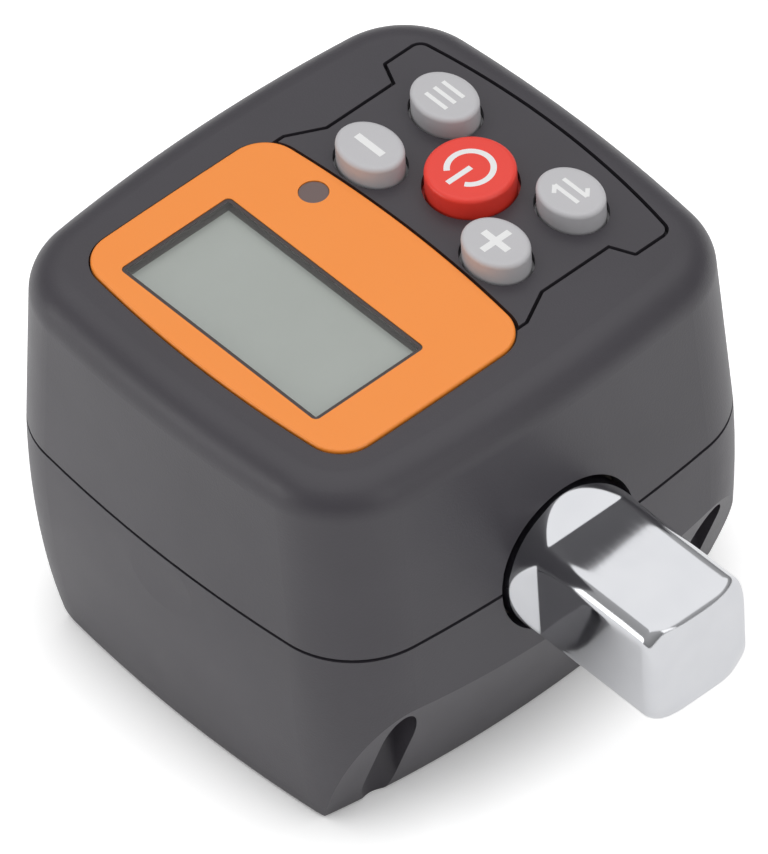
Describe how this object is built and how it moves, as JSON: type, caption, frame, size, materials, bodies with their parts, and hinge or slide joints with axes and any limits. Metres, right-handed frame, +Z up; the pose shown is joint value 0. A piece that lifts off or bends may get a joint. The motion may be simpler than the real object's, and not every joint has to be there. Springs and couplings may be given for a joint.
{
  "type": "digital torque adapter",
  "caption": "Digital torque adapter: a square drive torsion shaft through a two-shell housing with display, keypad and sliding battery door.",
  "frame": {"origin": "centre of the female square's mouth, on the drive axis", "axes": "+X along the drive axis to the male square's tip, +Y towards the keys, +Z up through the display"},
  "size_m": [0.0747, 0.0578, 0.0497],
  "materials": {
    "dark_grey_plastic": "moulded dark grey ABS, fine spark texture",
    "chromed_steel": "bright chrome plate on turned and milled steel",
    "bronze": "sintered bronze",
    "polished_steel": "polished bearing ball",
    "spring_steel": "drawn spring wire",
    "gauge_foil": "polyimide film with metal foil grid",
    "lead_sleeve": "insulated wire",
    "orange_plastic": "moulded orange ABS, satin gloss",
    "clear_plastic": "clear acrylic window",
    "lcd_glass": "liquid crystal cell with grey polariser",
    "light_plastic": "white moulded frame",
    "grey_rubber": "layered conductive silicone",
    "smoked_plastic": "smoked light pipe",
    "led_plastic": "clear epoxy",
    "panel_plastic": "moulded dark grey ABS",
    "red_plastic": "moulded red ABS",
    "key_plastic": "moulded light grey ABS",
    "white_rubber": "moulded silicone with carbon pills",
    "board_laminate": "glass fibre board with green solder mask",
    "zinc_screw": "zinc plated steel",
    "chip_plastic": "black moulded epoxy",
    "cell_jacket": "printed jacket over steel can",
    "nickel_strip": "nickel plated steel strip and wire"
  },
  "bodies": {
    "adapter": {"upper_housing": "dark_grey_plastic", "lower_housing": "dark_grey_plastic", "drive_shaft": "chromed_steel", "front_bush": "bronze", "detent_spring": "spring_steel", "strain_gauges": "gauge_foil", "gauge_leads": "lead_sleeve", "battery_leads": "lead_sleeve", "display_bezel": "orange_plastic", "display_lens": "clear_plastic", "lcd_panel": "lcd_glass", "lcd_frame": "light_plastic", "lcd_connector": "grey_rubber", "indicator_lens": "smoked_plastic", "indicator_led": "led_plastic", "keypad_panel": "panel_plastic", "key_mat": "white_rubber", "main_board": "board_laminate", "board_screws": "zinc_screw", "housing_screws": "zinc_screw", "control_chip": "chip_plastic", "gauge_amplifier": "chip_plastic", "buzzer": "chip_plastic", "left_cell": "cell_jacket", "right_cell": "cell_jacket", "bridge_contact": "nickel_strip", "negative_contact": "nickel_strip", "positive_contact": "nickel_strip"},
    "power_button": {"power_button": "red_plastic"},
    "mode_button": {"mode_button": "key_plastic"},
    "unit_button": {"unit_button": "key_plastic"},
    "minus_button": {"minus_button": "key_plastic"},
    "plus_button": {"plus_button": "key_plastic"},
    "battery_door": {"battery_door": "dark_grey_plastic"},
    "detent_ball": {"detent_ball": "polished_steel"}
  },
  "joints": [
    {"name": "power_press", "type": "slide", "parent": "adapter", "child": "power_button", "axis": [0, 0, -1], "range_m": [0, 0.0008], "stiffness_N_per_m": 600, "springref_m": -0.0005, "deforming": ["key_mat"]},
    {"name": "mode_press", "type": "slide", "parent": "adapter", "child": "mode_button", "axis": [0, 0, -1], "range_m": [0, 0.0008], "stiffness_N_per_m": 600, "springref_m": -0.0005, "deforming": ["key_mat"]},
    {"name": "unit_press", "type": "slide", "parent": "adapter", "child": "unit_button", "axis": [0, 0, -1], "range_m": [0, 0.0008], "stiffness_N_per_m": 600, "springref_m": -0.0005, "deforming": ["key_mat"]},
    {"name": "minus_press", "type": "slide", "parent": "adapter", "child": "minus_button", "axis": [0, 0, -1], "range_m": [0, 0.0008], "stiffness_N_per_m": 600, "springref_m": -0.0005, "deforming": ["key_mat"]},
    {"name": "plus_press", "type": "slide", "parent": "adapter", "child": "plus_button", "axis": [0, 0, -1], "range_m": [0, 0.0008], "stiffness_N_per_m": 600, "springref_m": -0.0005, "deforming": ["key_mat"]},
    {"name": "door_slide", "type": "slide", "parent": "adapter", "child": "battery_door", "axis": [0, 1, 0], "range_m": [0, 0.048]},
    {"name": "detent_press", "type": "slide", "parent": "adapter", "child": "detent_ball", "axis": [0, 0, 1], "range_m": [0, 0.00075], "stiffness_N_per_m": 500, "springref_m": -0.001, "deforming": ["detent_spring"]}
  ]
}
